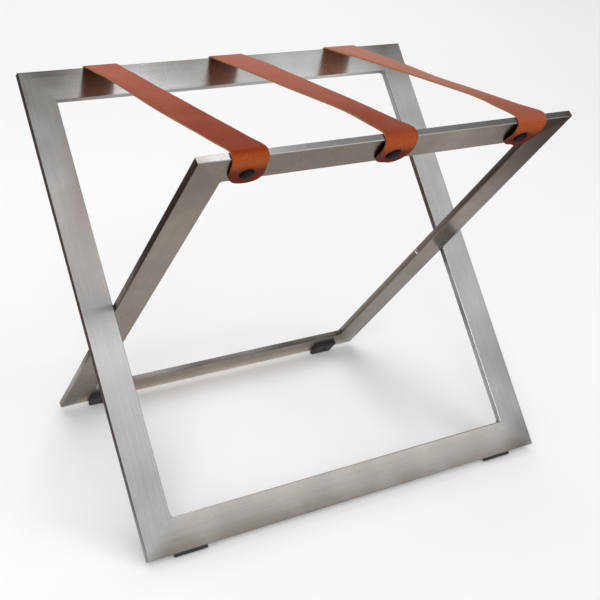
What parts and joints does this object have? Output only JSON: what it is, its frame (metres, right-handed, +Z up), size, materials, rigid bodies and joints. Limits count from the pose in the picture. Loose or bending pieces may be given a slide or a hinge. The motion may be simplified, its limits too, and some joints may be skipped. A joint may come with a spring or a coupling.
{
  "type": "folding luggage rack",
  "caption": "Folding X-frame luggage rack: two brushed steel tube frames crossed on a pivot, with leather straps that carry the case.",
  "frame": {"origin": "on the floor, midway between the feet, below the pivot", "axes": "+Z up, X along the pivot's axis across the bench, -Y towards the front, where the inner frame's bar carries the strap ends"},
  "size_m": [0.6, 0.4169, 0.4991],
  "materials": {
    "frame_steel": "brushed along each tube",
    "weld_steel": "ground weld",
    "strap_leather": "smooth cognac leather, light raw edge",
    "button_black": "satin black",
    "foot_rubber": "matt black",
    "spacer_nylon": "matt black nylon",
    "bolt_steel": "bright zinc",
    "bush_bronze": "plain bronze",
    "fastener_steel": "zinc plated"
  },
  "bodies": {
    "outer_frame": {"left_pivot_bolt": "bolt_steel", "left_pivot_nut_block": "fastener_steel", "left_pivot_spacer": "spacer_nylon", "left_strap": "strap_leather", "middle_strap": "strap_leather", "outer_bottom_bar": "frame_steel", "outer_foot_screws": "fastener_steel", "outer_frame_welds": "weld_steel", "outer_left_foot": "foot_rubber", "outer_left_leg": "frame_steel", "outer_right_foot": "foot_rubber", "outer_right_leg": "frame_steel", "outer_top_bar": "frame_steel", "rear_strap_buttons": "button_black", "rear_strap_inserts": "fastener_steel", "right_pivot_bolt": "bolt_steel", "right_pivot_nut_block": "fastener_steel", "right_pivot_spacer": "spacer_nylon", "right_strap": "strap_leather"},
    "inner_frame": {"front_strap_buttons": "button_black", "front_strap_inserts": "fastener_steel", "inner_bottom_bar": "frame_steel", "inner_foot_screws": "fastener_steel", "inner_frame_welds": "weld_steel", "inner_left_foot": "foot_rubber", "inner_left_leg": "frame_steel", "inner_right_foot": "foot_rubber", "inner_right_leg": "frame_steel", "inner_top_bar": "frame_steel", "left_pivot_bush": "bush_bronze", "right_pivot_bush": "bush_bronze"}
  },
  "joints": [
    {"name": "fold", "type": "hinge", "parent": "outer_frame", "child": "inner_frame", "pos_m": [0, 0, 0.24514], "axis": [-1, 0, 0], "range_deg": [0, 74.9], "deforming": ["left_strap", "middle_strap", "right_strap"]}
  ]
}
